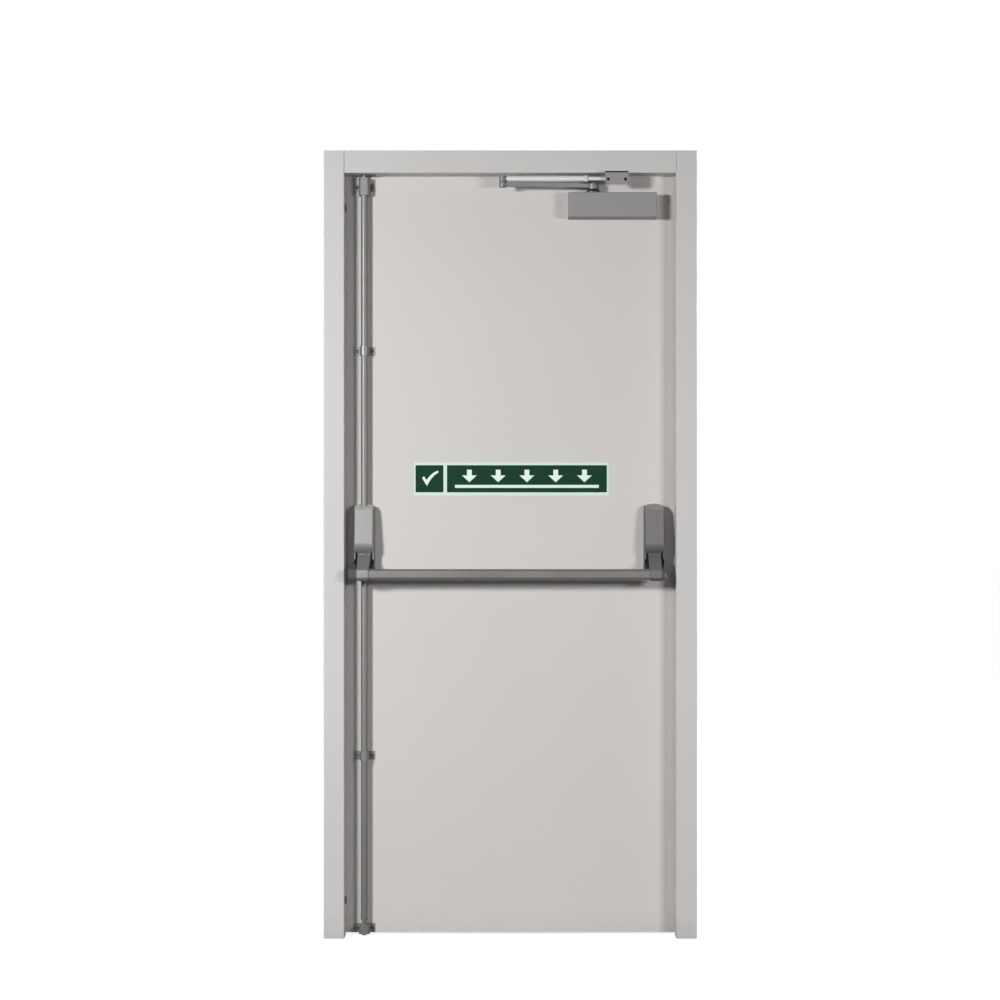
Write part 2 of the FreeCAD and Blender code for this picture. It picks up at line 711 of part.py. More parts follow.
def build():
    pieces = {}
    pieces["latch_jamb"] = jamb(-overall_width, 1)
    pieces["hinge_jamb"] = jamb(0, -1)
    pieces["frame_head"] = frame_head()
    pieces["latch_fixing_straps"] = fixing_straps(-overall_width, 1)
    pieces["hinge_fixing_straps"] = fixing_straps(0, -1)
    pieces["latch_seal"] = upright_seal(latch_reveal_x - rebate_step / 2)
    pieces["hinge_seal"] = upright_seal(hinge_reveal_x + rebate_step / 2)
    seal_end = (rebate_step + seal_width) / 2
    seal_left = latch_reveal_x - rebate_step + seal_end
    seal_right = hinge_reveal_x + rebate_step - seal_end
    pieces["head_seal"] = head_seal(seal_left, seal_right)
    pieces["top_keeper"] = keeper()
    pieces["closer_bracket"] = closer_bracket()

    hinge_levels = {
        "bottom": leaf_bottom + hinge_end_distance,
        "middle": (leaf_bottom + leaf_top) / 2,
        "top": leaf_top - hinge_end_distance,
    }
    for level, centre_z in hinge_levels.items():
        frame_half, door_half = hinge_halves(centre_z)
        pieces["hinge_frame_leaf_" + level] = frame_half
        pieces["hinge_door_leaf_" + level] = door_half

    pieces["push_skin"] = leaf_tray(leaf_y, 1)
    pieces["pull_skin"] = leaf_tray(rear_y, -1)
    pieces["leaf_core"] = leaf_core()
    pieces["latch_head_body"] = head_body(rod_x, True)
    pieces["latch_head_cover"] = head_cover(rod_x, True)
    pieces["hinge_head_body"] = head_body(hinge_head_x, False)
    pieces["hinge_head_cover"] = head_cover(hinge_head_x, False)

    top_guide_top = keeper_z - top_guide_gap
    top_guide_low = top_guide_top - top_guide_height
    top_rod_end = top_guide_low + top_guide_height / 2
    top_rod_start = head_top_z - top_rod_entry
    top_room = (top_guide_low - past, top_rod_end + rod_fit)
    pieces["top_bolt_guide"] = bolt_housing(top_guide_low, top_guide_top, *top_room)
    pieces["upper_rod_guide"] = rod_guide(soffit_z - upper_guide_drop)
    pieces["lower_rod_guide"] = rod_guide(lower_guide_z)
    low = bottom_guide_rise
    pieces["bottom_bolt_guide"] = bolt_housing(low, low + bottom_guide_height, low, low)
    pieces["top_rod"] = hollow_rod(top_rod_start, top_rod_end)
    pieces["top_bolt"] = bolt(top_rod_end, keeper_z + bolt_throw)
    bottom_rod_top = head_base_z + bottom_rod_entry
    pieces["bottom_rod"] = hollow_rod(bottom_rod_rise, bottom_rod_top)
    pieces["bottom_bolt"] = bolt(bottom_rod_rise, bottom_bolt_rise)

    left, right = bar_ends()
    pieces["push_bar_tube"] = push_bar_tube()
    pieces["latch_lever"] = lever(rod_x)
    pieces["hinge_lever"] = lever(hinge_head_x)
    pieces["latch_bar_cap"] = bar_end_cap(left, -1)
    pieces["hinge_bar_cap"] = bar_end_cap(right, 1)

    pieces["closer_body"] = closer_body()
    pieces["closer_cover"] = closer_cover()
    pieces["closer_main_arm"] = closer_main_arm()
    pieces["arm_nut"] = arm_nut()
    pieces["forearm_tube"] = forearm_tube()
    pieces["forearm_rod"] = forearm_rod()
    pieces["sign_plate"] = sign_plate()
    return pieces


os.makedirs("parts", exist_ok=True)
for node, shape in build().items():
    if not shape.isValid():
        print("not valid:", node)
    shape.exportStep("parts/" + node + ".step")
    print(node, len(shape.Solids), round(shape.Volume / 1000, 1))
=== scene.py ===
import math

import bmesh
import bpy
from mathutils import Matrix, Vector


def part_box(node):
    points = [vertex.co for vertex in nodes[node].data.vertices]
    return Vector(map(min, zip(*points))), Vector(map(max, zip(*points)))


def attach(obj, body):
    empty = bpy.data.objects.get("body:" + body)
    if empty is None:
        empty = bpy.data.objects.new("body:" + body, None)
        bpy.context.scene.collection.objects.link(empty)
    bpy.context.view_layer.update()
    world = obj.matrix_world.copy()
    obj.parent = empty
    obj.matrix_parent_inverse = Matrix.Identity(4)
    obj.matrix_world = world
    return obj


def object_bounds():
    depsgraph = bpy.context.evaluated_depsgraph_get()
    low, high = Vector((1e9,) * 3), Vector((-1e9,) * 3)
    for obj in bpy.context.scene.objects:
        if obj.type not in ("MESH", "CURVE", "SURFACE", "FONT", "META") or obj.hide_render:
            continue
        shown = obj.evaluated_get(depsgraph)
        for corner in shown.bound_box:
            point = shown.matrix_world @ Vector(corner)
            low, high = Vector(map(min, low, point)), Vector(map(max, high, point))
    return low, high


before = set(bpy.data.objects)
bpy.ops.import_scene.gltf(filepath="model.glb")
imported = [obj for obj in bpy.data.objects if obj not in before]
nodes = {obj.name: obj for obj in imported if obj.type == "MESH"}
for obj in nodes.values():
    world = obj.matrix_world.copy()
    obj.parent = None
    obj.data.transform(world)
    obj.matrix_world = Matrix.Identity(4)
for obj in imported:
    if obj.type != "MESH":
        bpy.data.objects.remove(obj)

# Looks of a steel fire exit door. Metres, x right, y away from the viewer, z up.
cadLow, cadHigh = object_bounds()
scene = bpy.context.scene
mm = 0.001


# small helpers for finishes

def screenColour(red, green, blue):   # 0-255 screen values to the linear colour a socket takes
    linear = []
    for value in (red / 255, green / 255, blue / 255):
        linear.append(value / 12.92 if value <= 0.04045 else ((value + 0.055) / 1.055) ** 2.4)
    return (*linear, 1)


def darker(colour, share):
    return (colour[0] * share, colour[1] * share, colour[2] * share, 1)


def newFinish(name):
    finish = bpy.data.materials.new(name)
    finish.use_nodes = True
    tree = finish.node_tree
    place = tree.nodes.new("ShaderNodeTexCoord").outputs["Object"]
    return finish, tree, tree.nodes["Principled BSDF"], place


def grain(tree, place, scale, detail, stretch=(1, 1, 1)):   # scale is in spots per metre
    mapping = tree.nodes.new("ShaderNodeMapping")
    mapping.inputs["Scale"].default_value = stretch
    tree.links.new(place, mapping.inputs["Vector"])
    noise = tree.nodes.new("ShaderNodeTexNoise")
    noise.inputs["Scale"].default_value = scale
    noise.inputs["Detail"].default_value = detail
    tree.links.new(mapping.outputs["Vector"], noise.inputs["Vector"])
    return noise.outputs["Fac"]


def spread(tree, source, fromLow, fromHigh, toLow, toHigh):
    node = tree.nodes.new("ShaderNodeMapRange")
    for socket, value in zip(node.inputs[1:5], (fromLow, fromHigh, toLow, toHigh)):
        socket.default_value = value
    tree.links.new(source, node.inputs["Value"])
    return node.outputs["Result"]


grainSpan = (0.3, 0.7)   # the part of a grain that is drawn out to 0-1


def patches(tree, place, scale, detail, span=grainSpan, stretch=(1, 1, 1)):
    return spread(tree, grain(tree, place, scale, detail, stretch), *span, 0, 1)


def blendColour(tree, mask, first, second):   # first and second are colours or sockets
    node = tree.nodes.new("ShaderNodeMix")
    node.data_type = "RGBA"
    tree.links.new(mask, node.inputs["Factor"])
    colourEnds = [socket for socket in node.inputs if socket.type == "RGBA"]
    for socket, value in zip(colourEnds, (first, second)):
        if isinstance(value, tuple):
            socket.default_value = value
        else:
            tree.links.new(value, socket)
    return next(socket for socket in node.outputs if socket.type == "RGBA")


def mixLevel(tree, factor, first, second):   # first and second are numbers or sockets
    node = tree.nodes.new("ShaderNodeMix")
    tree.links.new(factor, node.inputs["Factor"])
    for socket, value in ((node.inputs["A"], first), (node.inputs["B"], second)):
        if isinstance(value, float):
            socket.default_value = value
        else:
            tree.links.new(value, socket)
    return node.outputs["Result"]


def product(tree, first, second):
    node = tree.nodes.new("ShaderNodeMath")
    node.operation = "MULTIPLY"
    tree.links.new(first, node.inputs[0])
    tree.links.new(second, node.inputs[1])
    return node.outputs[0]


def unsigned(tree, source):
    node = tree.nodes.new("ShaderNodeMath")
    node.operation = "ABSOLUTE"
    tree.links.new(source, node.inputs[0])
    return node.outputs[0]


def splitXyz(tree, vector):
    node = tree.nodes.new("ShaderNodeSeparateXYZ")
    tree.links.new(vector, node.inputs["Vector"])
    return node.outputs


def raised(tree, height, depth, under=None):   # bump of the given depth in metres
    node = tree.nodes.new("ShaderNodeBump")
    node.inputs["Distance"].default_value = depth
    tree.links.new(height, node.inputs["Height"])
    if under is not None:
        tree.links.new(under, node.inputs["Normal"])
    return node.outputs["Normal"]


edgeTest = {"samples": 4, "span": (0.985, 0.80)}   # cosine between the rounded and the true normal


def edgeMask(tree, radius):   # 1 along edges, 0 on flats
    soft = tree.nodes.new("ShaderNodeBevel")
    soft.samples = edgeTest["samples"]
    soft.inputs["Radius"].default_value = radius
    flat = tree.nodes.new("ShaderNodeNewGeometry")
    dot = tree.nodes.new("ShaderNodeVectorMath")
    dot.operation = "DOT_PRODUCT"
    tree.links.new(soft.outputs["Normal"], dot.inputs[0])
    tree.links.new(flat.outputs["Normal"], dot.inputs[1])
    return spread(tree, dot.outputs["Value"], *edgeTest["span"], 0, 1)


# finishes, one function for each kind of surface

coat = {   # what the two paints share
    "specular": 0.4, "peelScale": 620, "peelDepth": 0.00006,
    "wipeSpan": (0.35, 0.75), "wipeStretch": (1, 1, 0.06),
    "scuffHeight": 0.07, "scuffScale": 90, "scuffSpan": (0.3, 0.75), "scuffLeast": 0.2,
}


def powderCoat(name, look):   # wiped unevenly, and scuffed near the floor
    finish, tree, shader, place = newFinish(name)
    cloud = patches(tree, place, look["cloudScale"], detail=2)
    wipe = patches(tree, place, look["wipeScale"], 4, look["wipeSpan"], look["wipeStretch"])
    tone = blendColour(tree, cloud, look["colour"], darker(look["colour"], look["cloudShade"]))
    nearFloor = spread(tree, splitXyz(tree, place)["Z"], 0, look["scuffHeight"], 1, 0)
    marks = grain(tree, place, look["scuffScale"], detail=5)
    scuff = product(tree, nearFloor, spread(tree, marks, *look["scuffSpan"], look["scuffLeast"], 1))
    tree.links.new(blendColour(tree, scuff, tone, look["scuffColour"]), shader.inputs["Base Color"])
    tree.links.new(spread(tree, wipe, 0, 1, *look["roughness"]), shader.inputs["Roughness"])
    panel = raised(tree, grain(tree, place, look["waveScale"], detail=1), look["waveDepth"])
    peel = raised(tree, grain(tree, place, look["peelScale"], detail=2), look["peelDepth"], panel)
    tree.links.new(peel, shader.inputs["Normal"])
    shader.inputs["Specular IOR Level"].default_value = look["specular"]
    return finish


flakeSpan = (0.35, 0.65)
wornLeast = 0.3   # share of the wear that every edge has


def silverPaint(name, look):
    finish, tree, shader, place = newFinish(name)
    flake = patches(tree, place, look["flakeScale"], 1, flakeSpan)
    cloud = patches(tree, place, look["cloudScale"], detail=3)
    tone = blendColour(tree, flake, look["colour"], darker(look["colour"], look["flakeShade"]))
    tone = blendColour(tree, cloud, tone, darker(look["colour"], look["cloudShade"]))
    worn = product(tree, edgeMask(tree, look["edgeRadius"]), spread(tree, cloud, 0, 1, wornLeast, 1))
    tree.links.new(blendColour(tree, worn, tone, look["edgeColour"]), shader.inputs["Base Color"])
    tree.links.new(spread(tree, cloud, 0, 1, *look["roughness"]), shader.inputs["Roughness"])
    tree.links.new(raised(tree, flake, look["flakeDepth"]), shader.inputs["Normal"])
    shader.inputs["Metallic"].default_value = look["metallic"]
    return finish


def castSilver(name, look):   # its rounded sides shine less than its flat front; upward faces get pale, less metallic specks, a painted top light standing in for light from above
    finish = silverPaint(name, look)
    tree = finish.node_tree
    shader = tree.nodes["Principled BSDF"]
    place = tree.nodes.new("ShaderNodeTexCoord")
    normal = splitXyz(tree, place.outputs["Normal"])
    sideways = spread(tree, unsigned(tree, normal["X"]), *look["cornerFrom"], 0, 1)
    flatRoughness = shader.inputs["Roughness"].links[0].from_socket
    roughness = mixLevel(tree, sideways, flatRoughness, look["cornerRoughness"])
    tree.links.new(roughness, shader.inputs["Roughness"])
    # painted top light: upward faces paler and less metallic, in specks
    specks = grain(tree, place.outputs["Object"], look["topLightScale"], detail=4)
    upward = spread(tree, normal["Z"], *look["topLightFrom"], 0, 1)
    paintedTopLight = product(tree, upward, spread(tree, specks, *grainSpan, look["topLightLeast"], 1))
    tone = shader.inputs["Base Color"].links[0].from_socket
    tree.links.new(blendColour(tree, paintedTopLight, tone, look["topLightColour"]), shader.inputs["Base Color"])
    shine = spread(tree, paintedTopLight, 0, 1, look["metallic"], look["topLightMetallic"])
    tree.links.new(shine, shader.inputs["Metallic"])
    return finish


stainSpan = (0.35, 0.7)


def drawnMetal(name, look):   # fine lines along one axis, from drawing or brushing
    finish, tree, shader, place = newFinish(name)
    lines = patches(tree, place, look["lineScale"], 2, grainSpan, look["stretch"])
    stain = patches(tree, place, look["stainScale"], 4, stainSpan)
    tone = blendColour(tree, lines, look["colour"], darker(look["colour"], look["lineShade"]))
    tone = blendColour(tree, stain, tone, darker(look["colour"], look["stainShade"]))
    tree.links.new(tone, shader.inputs["Base Color"])
    tree.links.new(spread(tree, stain, 0, 1, *look["roughness"]), shader.inputs["Roughness"])
    tree.links.new(raised(tree, lines, look["lineDepth"]), shader.inputs["Normal"])
    shader.inputs["Metallic"].default_value = look["metallic"]
    return finish


def castEnd(finish, axis, fade, colour):   # a darker cast knuckle at one end of a drawn arm
    tree = finish.node_tree
    shader = tree.nodes["Principled BSDF"]
    flat = tree.nodes.new("ShaderNodeVectorMath")
    flat.operation = "MULTIPLY"
    flat.inputs[1].default_value = (1, 1, 0)
    tree.links.new(tree.nodes.new("ShaderNodeTexCoord").outputs["Object"], flat.inputs[0])
    reach = tree.nodes.new("ShaderNodeVectorMath")
    reach.operation = "DISTANCE"
    reach.inputs[1].default_value = (axis.x, axis.y, 0)
    tree.links.new(flat.outputs["Vector"], reach.inputs[0])
    near = spread(tree, reach.outputs["Value"], *fade, 1, 0)
    tone = shader.inputs["Base Color"].links[0].from_socket
    tree.links.new(blendColour(tree, near, tone, colour), shader.inputs["Base Color"])


def zincCoat(name, look):   # crystals of hot zinc
    finish, tree, shader, place = newFinish(name)
    cells = tree.nodes.new("ShaderNodeTexVoronoi")
    cells.inputs["Scale"].default_value = look["crystalScale"]
    tree.links.new(place, cells.inputs["Vector"])
    crystal = splitXyz(tree, cells.outputs["Color"])
    tone = blendColour(tree, crystal["X"], look["colour"], darker(look["colour"], look["crystalShade"]))
    tree.links.new(tone, shader.inputs["Base Color"])
    tree.links.new(spread(tree, crystal["Y"], 0, 1, *look["roughness"]), shader.inputs["Roughness"])
    bite = raised(tree, grain(tree, place, look["biteScale"], detail=2), look["biteDepth"])
    tree.links.new(bite, shader.inputs["Normal"])
    shader.inputs["Metallic"].default_value = look["metallic"]
    return finish


def mouldedFinish(name, look):   # plastics, rubber and board
    finish, tree, shader, place = newFinish(name)
    mottle = patches(tree, place, look["mottleScale"], detail=3)
    tone = blendColour(tree, mottle, look["colour"], darker(look["colour"], look["mottleShade"]))
    tree.links.new(tone, shader.inputs["Base Color"])
    tree.links.new(spread(tree, mottle, 0, 1, *look["roughness"]), shader.inputs["Roughness"])
    skin = raised(tree, grain(tree, place, look["grainScale"], detail=2), look["grainDepth"])
    tree.links.new(skin, shader.inputs["Normal"])
    shader.inputs["Specular IOR Level"].default_value = look["specular"]
    return finish


# looks of the finishes: scales are in spots per metre, depths in metres

framePaint = {
    **coat, "colour": screenColour(206, 204, 202), "cloudScale": 2.2, "cloudShade": 0.975,
    "wipeScale": 9, "roughness": (0.40, 0.52), "waveScale": 5, "waveDepth": 0.0004,
    "scuffColour": screenColour(188, 186, 182),
}
leafPaint = {
    **coat, "colour": screenColour(209, 206, 204), "cloudScale": 1.6, "cloudShade": 0.98,
    "wipeScale": 6, "roughness": (0.42, 0.54), "waveScale": 3, "waveDepth": 0.0006,
    "scuffColour": screenColour(196, 193, 189),
}
coverSilver = {
    "colour": screenColour(156, 155, 154), "flakeScale": 2600, "flakeShade": 0.9, "flakeDepth": 0.00001,
    "cloudScale": 40, "cloudShade": 0.96, "roughness": (0.50, 0.56), "metallic": 0.8,
    "edgeRadius": 0.0006, "edgeColour": screenColour(164, 163, 162),
    "cornerFrom": (0.06, 0.26), "cornerRoughness": 0.74,
    # painted top light on upward faces, standing in for light from above
    "topLightScale": 300, "topLightFrom": (0.25, 0.8), "topLightLeast": 0.7,
    "topLightColour": screenColour(196, 195, 192), "topLightMetallic": 0.15,
}
# darker copies of the cover's silver for the hinge head: painted shade, as that head catches less of the
# lamps' sheen
hingeCoverPaintedShade = {
    **coverSilver, "colour": screenColour(130, 128, 127), "edgeColour": screenColour(144, 142, 141),
    "topLightColour": screenColour(160, 158, 156),
}
leverSilver = {**coverSilver, "topLightColour": screenColour(122, 121, 119)}
hingeLeverPaintedShade = {**hingeCoverPaintedShade, "topLightColour": screenColour(116, 114, 113)}
closerSilver = {
    "colour": screenColour(151, 149, 149), "flakeScale": 2400, "flakeShade": 0.9, "flakeDepth": 0.00002,
    "cloudScale": 25, "cloudShade": 0.96, "roughness": (0.52, 0.60), "metallic": 0.1,
    "edgeRadius": 0.0008, "edgeColour": screenColour(180, 178, 178),
}
guideSilver = {
    "colour": screenColour(150, 149, 148), "flakeScale": 2400, "flakeShade": 0.88, "flakeDepth": 0.00002,
    "cloudScale": 60, "cloudShade": 0.92, "roughness": (0.42, 0.50), "metallic": 0.6,
    "edgeRadius": 0.0006, "edgeColour": screenColour(154, 153, 152),
}
headSteel = {
    "colour": screenColour(154, 153, 152), "flakeScale": 1800, "flakeShade": 0.88, "flakeDepth": 0.00002,
    "cloudScale": 35, "cloudShade": 0.9, "roughness": (0.40, 0.50), "metallic": 0.85,
    "edgeRadius": 0.0008, "edgeColour": screenColour(176, 175, 174),
}
rodSteel = {
    "colour": screenColour(140, 139, 138), "lineScale": 900, "stretch": (1, 1, 0.02), "lineShade": 0.9,
    "lineDepth": 0.00001, "stainScale": 12, "stainShade": 0.95, "roughness": (0.48, 0.54), "metallic": 0.6,
}
barSilver = {
    "colour": screenColour(153, 151, 150), "lineScale": 900, "stretch": (0.02, 1, 1), "lineShade": 0.92,
    "lineDepth": 0.00001, "stainScale": 9, "stainShade": 0.96, "roughness": (0.38, 0.44), "metallic": 0.75,
}
armSteel = {
    "colour": screenColour(168, 168, 167), "lineScale": 700, "stretch": (0.03, 1, 1), "lineShade": 0.93,
    "lineDepth": 0.00001, "stainScale": 20, "stainShade": 0.94, "roughness": (0.42, 0.50), "metallic": 0.6,
}
mainArmSteel = {**armSteel, "colour": screenColour(154, 153, 153)}
forearmSteel = {
    "colour": screenColour(244, 244, 243), "lineScale": 700, "stretch": (0.03, 1, 1), "lineShade": 0.95,
    "lineDepth": 0.00001, "stainScale": 20, "stainShade": 0.96, "roughness": (0.44, 0.52), "metallic": 0.35,
}
hubSteel = {
    "colour": screenColour(112, 111, 111), "lineScale": 900, "stretch": (1, 1, 1), "lineShade": 0.8,
    "lineDepth": 0.00002, "stainScale": 60, "stainShade": 0.8, "roughness": (0.34, 0.44), "metallic": 0.8,
}
hingeSteel = {
    "colour": screenColour(188, 187, 185), "lineScale": 600, "stretch": (1, 1, 0.05), "lineShade": 0.88,
    "lineDepth": 0.00001, "stainScale": 30, "stainShade": 0.85, "roughness": (0.32, 0.46), "metallic": 0.95,
}
screwSteel = {
    "colour": screenColour(150, 149, 148), "lineScale": 1500, "stretch": (1, 1, 1), "lineShade": 0.85,
    "lineDepth": 0.00001, "stainScale": 300, "stainShade": 0.8, "roughness": (0.3, 0.42), "metallic": 0.95,
}
zincSteel = {
    "colour": screenColour(178, 180, 181), "crystalScale": 110, "crystalShade": 0.8,
    "roughness": (0.45, 0.6), "biteScale": 900, "biteDepth": 0.00002, "metallic": 0.55,
}
sealRubber = {
    "colour": screenColour(52, 52, 54), "mottleScale": 30, "mottleShade": 0.8,
    "roughness": (0.62, 0.78), "grainScale": 900, "specular": 0.3, "grainDepth": 0.00008,
}
bufferRubber = {
    "colour": screenColour(34, 34, 35), "mottleScale": 200, "mottleShade": 0.8,
    "roughness": (0.7, 0.85), "grainScale": 2200, "specular": 0.2, "grainDepth": 0.00004,
}
plugRubber = {
    "colour": screenColour(118, 117, 116), "mottleScale": 150, "mottleShade": 0.8,
    "roughness": (0.65, 0.8), "grainScale": 1500, "specular": 0.2, "grainDepth": 0.00005,
}
capPlastic = {
    "colour": screenColour(112, 111, 111), "mottleScale": 80, "mottleShade": 0.92,
    "roughness": (0.42, 0.52), "grainScale": 1800, "specular": 0.4, "grainDepth": 0.00004,
}
# dark finish of the bar's end skirts: a painted shade over the bar's stub at the latch end
sleeveShadeDark = {
    "colour": screenColour(84, 83, 83), "mottleScale": 120, "mottleShade": 0.9,
    "roughness": (0.5, 0.6), "grainScale": 1800, "specular": 0.3, "grainDepth": 0.00004,
}
# painted shade for the cross recesses, and the colour of the dark bracket screws
screwDarkAndRecessShade = {
    "colour": screenColour(38, 38, 39), "mottleScale": 300, "mottleShade": 0.7,
    "roughness": (0.5, 0.65), "grainScale": 2500, "specular": 0.3, "grainDepth": 0.00002,
}
leafFill = {
    "colour": screenColour(205, 190, 150), "mottleScale": 200, "mottleShade": 0.82,
    "roughness": (0.85, 0.95), "grainScale": 700, "specular": 0.1, "grainDepth": 0.0003,
}
signRim = {
    "colour": screenColour(216, 236, 224), "mottleScale": 40, "mottleShade": 0.97,
    "roughness": (0.36, 0.46), "grainScale": 1400, "specular": 0.25, "grainDepth": 0.00002,
}
signGreen = {
    "colour": screenColour(25, 63, 45), "mottleScale": 25, "mottleShade": 0.9,
    "roughness": (0.34, 0.46), "grainScale": 1400, "specular": 0.12, "grainDepth": 0.00002,
}
signMark = {
    "colour": screenColour(226, 246, 236), "mottleScale": 60, "mottleShade": 0.98,
    "roughness": (0.36, 0.46), "grainScale": 1400, "specular": 0.2, "grainDepth": 0.00002,
}

finishes = {
    "frame_paint": powderCoat("framePaint", framePaint),
    "leaf_paint": powderCoat("leafPaint", leafPaint),
    "leaf_fill": mouldedFinish("leafFill", leafFill),
    "zinc_steel": zincCoat("zincSteel", zincSteel),
    "seal_rubber": mouldedFinish("sealRubber", sealRubber),
    "hinge_steel": drawnMetal("hingeSteel", hingeSteel),
    "head_steel": silverPaint("headSteel", headSteel),
    "cover_silver": castSilver("coverSilver", coverSilver),
    "bar_silver": drawnMetal("barSilver", barSilver),
    "bar_cap_plastic": mouldedFinish("capPlastic", capPlastic),
    "rod_steel": drawnMetal("rodSteel", rodSteel),
    "guide_silver": silverPaint("guideSilver", guideSilver),
    "closer_silver": silverPaint("closerSilver", closerSilver),
    "arm_steel": drawnMetal("armSteel", armSteel),
    "sign_plastic": mouldedFinish("signRim", signRim),
}
greenFinish = mouldedFinish("signGreen", signGreen)
markFinish = mouldedFinish("signMark", signMark)
screwFinish = drawnMetal("screwSteel", screwSteel)
darkScrewAndRecessShade = mouldedFinish("screwDarkAndRecessShade", screwDarkAndRecessShade)
bufferFinish = mouldedFinish("bufferRubber", bufferRubber)
sleeveShadeFinish = mouldedFinish("sleeveShadeDark", sleeveShadeDark)
plugFinish = mouldedFinish("plugRubber", plugRubber)
hubFinish = drawnMetal("hubSteel", hubSteel)
forearmFinish = drawnMetal("forearmSteel", forearmSteel)
mainArmFinish = drawnMetal("mainArmSteel", mainArmSteel)

knuckle = {
    "colour": screenColour(128, 127, 127), "radius": 9 * mm,
    "elbowFade": (11.5 * mm, 13.5 * mm), "hubFade": (17 * mm, 20 * mm),   # distance from the axis
}


def boxCentre(name):
    low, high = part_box(name)
    return (low + high) / 2


def elbowCentre():
    elbow = boxCentre("forearm_tube")
    elbow.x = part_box("forearm_tube")[0].x + knuckle["radius"]
    return elbow


castEnd(forearmFinish, elbowCentre(), knuckle["elbowFade"], knuckle["colour"])
castEnd(mainArmFinish, elbowCentre(), knuckle["elbowFade"], knuckle["colour"])
castEnd(mainArmFinish, boxCentre("arm_nut"), knuckle["hubFade"], knuckle["colour"])
ownFinish = {   # nodes that differ from others of their slot
    "forearm_tube": forearmFinish,
    "forearm_rod": forearmFinish,
    "closer_main_arm": mainArmFinish,
    # the keeper takes dark steel in place of zinc: a painted shade under the head
    "top_keeper": hubFinish,
    # the hinge head's cover and lever take the darker copies, a painted shade
    "hinge_head_cover": castSilver("hingeCoverPaintedShade", hingeCoverPaintedShade),
    "latch_lever": castSilver("leverSilver", leverSilver),
    "hinge_lever": castSilver("hingeLeverPaintedShade", hingeLeverPaintedShade),
}

for name, node in nodes.items():
    slotName = node.material_slots[0].name
    node.material_slots[0].material = ownFinish.get(name, finishes[slotName])
print("finishes:", len(bpy.data.materials))


# meshes that ride on the frame

def newPiece(name, mesh, body, slotName, *materials):
    mesh.normal_update()
    data = bpy.data.meshes.new(name)
    mesh.to_mesh(data)
    mesh.free()
    for material in materials:
        data.materials.append(material)
    piece = bpy.data.objects.new(name, data)
    scene.collection.objects.link(piece)
    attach(piece, body)


def pairsMm(*pairs):   # millimetres to metres
    return [(first * mm, second * mm) for first, second in pairs]


def standing(seat, outward, turn=0.0):   # puts a piece on its seat with its own z pointing outward
    facing = Vector(outward).to_track_quat("Z", "Y").to_matrix().to_4x4()
    return Matrix.Translation(seat) @ facing @ Matrix.Rotation(turn, 4, "Z")


def addTurned(mesh, seat, outward, profile, sides=32, longer=1.0):   # profile is (radius, height) pairs
    place = standing(seat, outward) @ Matrix.Diagonal((1, longer, 1, 1))
    angles = [2 * math.pi * i / sides for i in range(sides)]
    rings = []
    for radius, height in profile:
        ring = [Vector((radius * math.cos(a), radius * math.sin(a), height)) for a in angles]
        rings.append([mesh.verts.new(place @ point) for point in ring])
    for low, high in zip(rings, rings[1:]):
        for i in range(sides):
            mesh.faces.new((low[i - 1], low[i], high[i], high[i - 1]))
    mesh.faces.new(rings[-1])
    mesh.faces.new(list(reversed(rings[0])))


def addSlab(mesh, first, second):   # joins two loops of points into a closed flat piece
    loops = [[mesh.verts.new(point) for point in loop] for loop in (first, second)]
    faces = [mesh.faces.new(loops[0]), mesh.faces.new(list(reversed(loops[1])))]
    for i in range(len(first)):
        faces.append(mesh.faces.new((loops[0][i - 1], loops[1][i - 1], loops[1][i], loops[0][i])))
    bmesh.ops.recalc_face_normals(mesh, faces=faces)


def addPrism(mesh, outline, yFront, yBack):   # outline is (x, z) points
    addSlab(mesh, [(x, yFront, z) for x, z in outline], [(x, yBack, z) for x, z in outline])


def rectangle(left, right, bottom, top):
    return [(left, bottom), (right, bottom), (right, top), (left, top)]


screw = {   # all but the first line are shares of the radius or the height
    "sides": 24, "turn": 0.4, "least": 1e-9,   # least keeps a division safe
    "profile": ((1.0, 0.0), (1.0, 0.3), (0.93, 0.62), (0.78, 0.88), (0.62, 1.0)),
    "armLength": 0.56, "armWidth": 0.15,   # of the cross recess
    "recess": 0.7,                         # its depth
}


def crossReach(angle, length, width):   # distance from the middle to the edge of a cross
    cosine = abs(math.cos(angle)) + screw["least"]
    sine = abs(math.sin(angle)) + screw["least"]
    return max(min(length / cosine, width / sine), min(width / cosine, length / sine))


def addScrew(mesh, seat, outward, radius, height, turn=screw["turn"]):   # pan head with a cross recess; the recess faces take the second material, a painted shade
    sides = screw["sides"]
    angles = [2 * math.pi * i / sides for i in range(sides)]
    rings = []
    for share, level in screw["profile"]:
        rings.append([(share * radius, level * height)] * sides)
    for level in (1.0, 1.0 - screw["recess"]):
        reach = [crossReach(a, screw["armLength"], screw["armWidth"]) for a in angles]
        rings.append([(share * radius, level * height) for share in reach])
    place = standing(seat, outward, turn)
    made = []
    for ring in rings:
        points = [Vector((r * math.cos(a), r * math.sin(a), h)) for (r, h), a in zip(ring, angles)]
        made.append([mesh.verts.new(place @ point) for point in points])
    for low, high in zip(made, made[1:]):
        # recess faces: second material, a painted shade
        dark = high is made[-1]
        for i in range(sides):
            face = mesh.faces.new((low[i], low[i - 1], high[i - 1], high[i]))
            face.normal_flip()
            face.smooth = not dark
            face.material_index = int(dark)
    mesh.faces.new(list(reversed(made[0])))
    floor = mesh.faces.new(made[-1])
    floor.material_index = 1


guideScrew = {
    "edge": 7 * mm, "radius": 4.4 * mm, "height": 2.2 * mm, "sheet": 2.5 * mm, "turn": 0.3, "turnStep": 0.4,
    "guides": ("upper_rod_guide", "lower_rod_guide", "top_bolt_guide", "bottom_bolt_guide"),
}


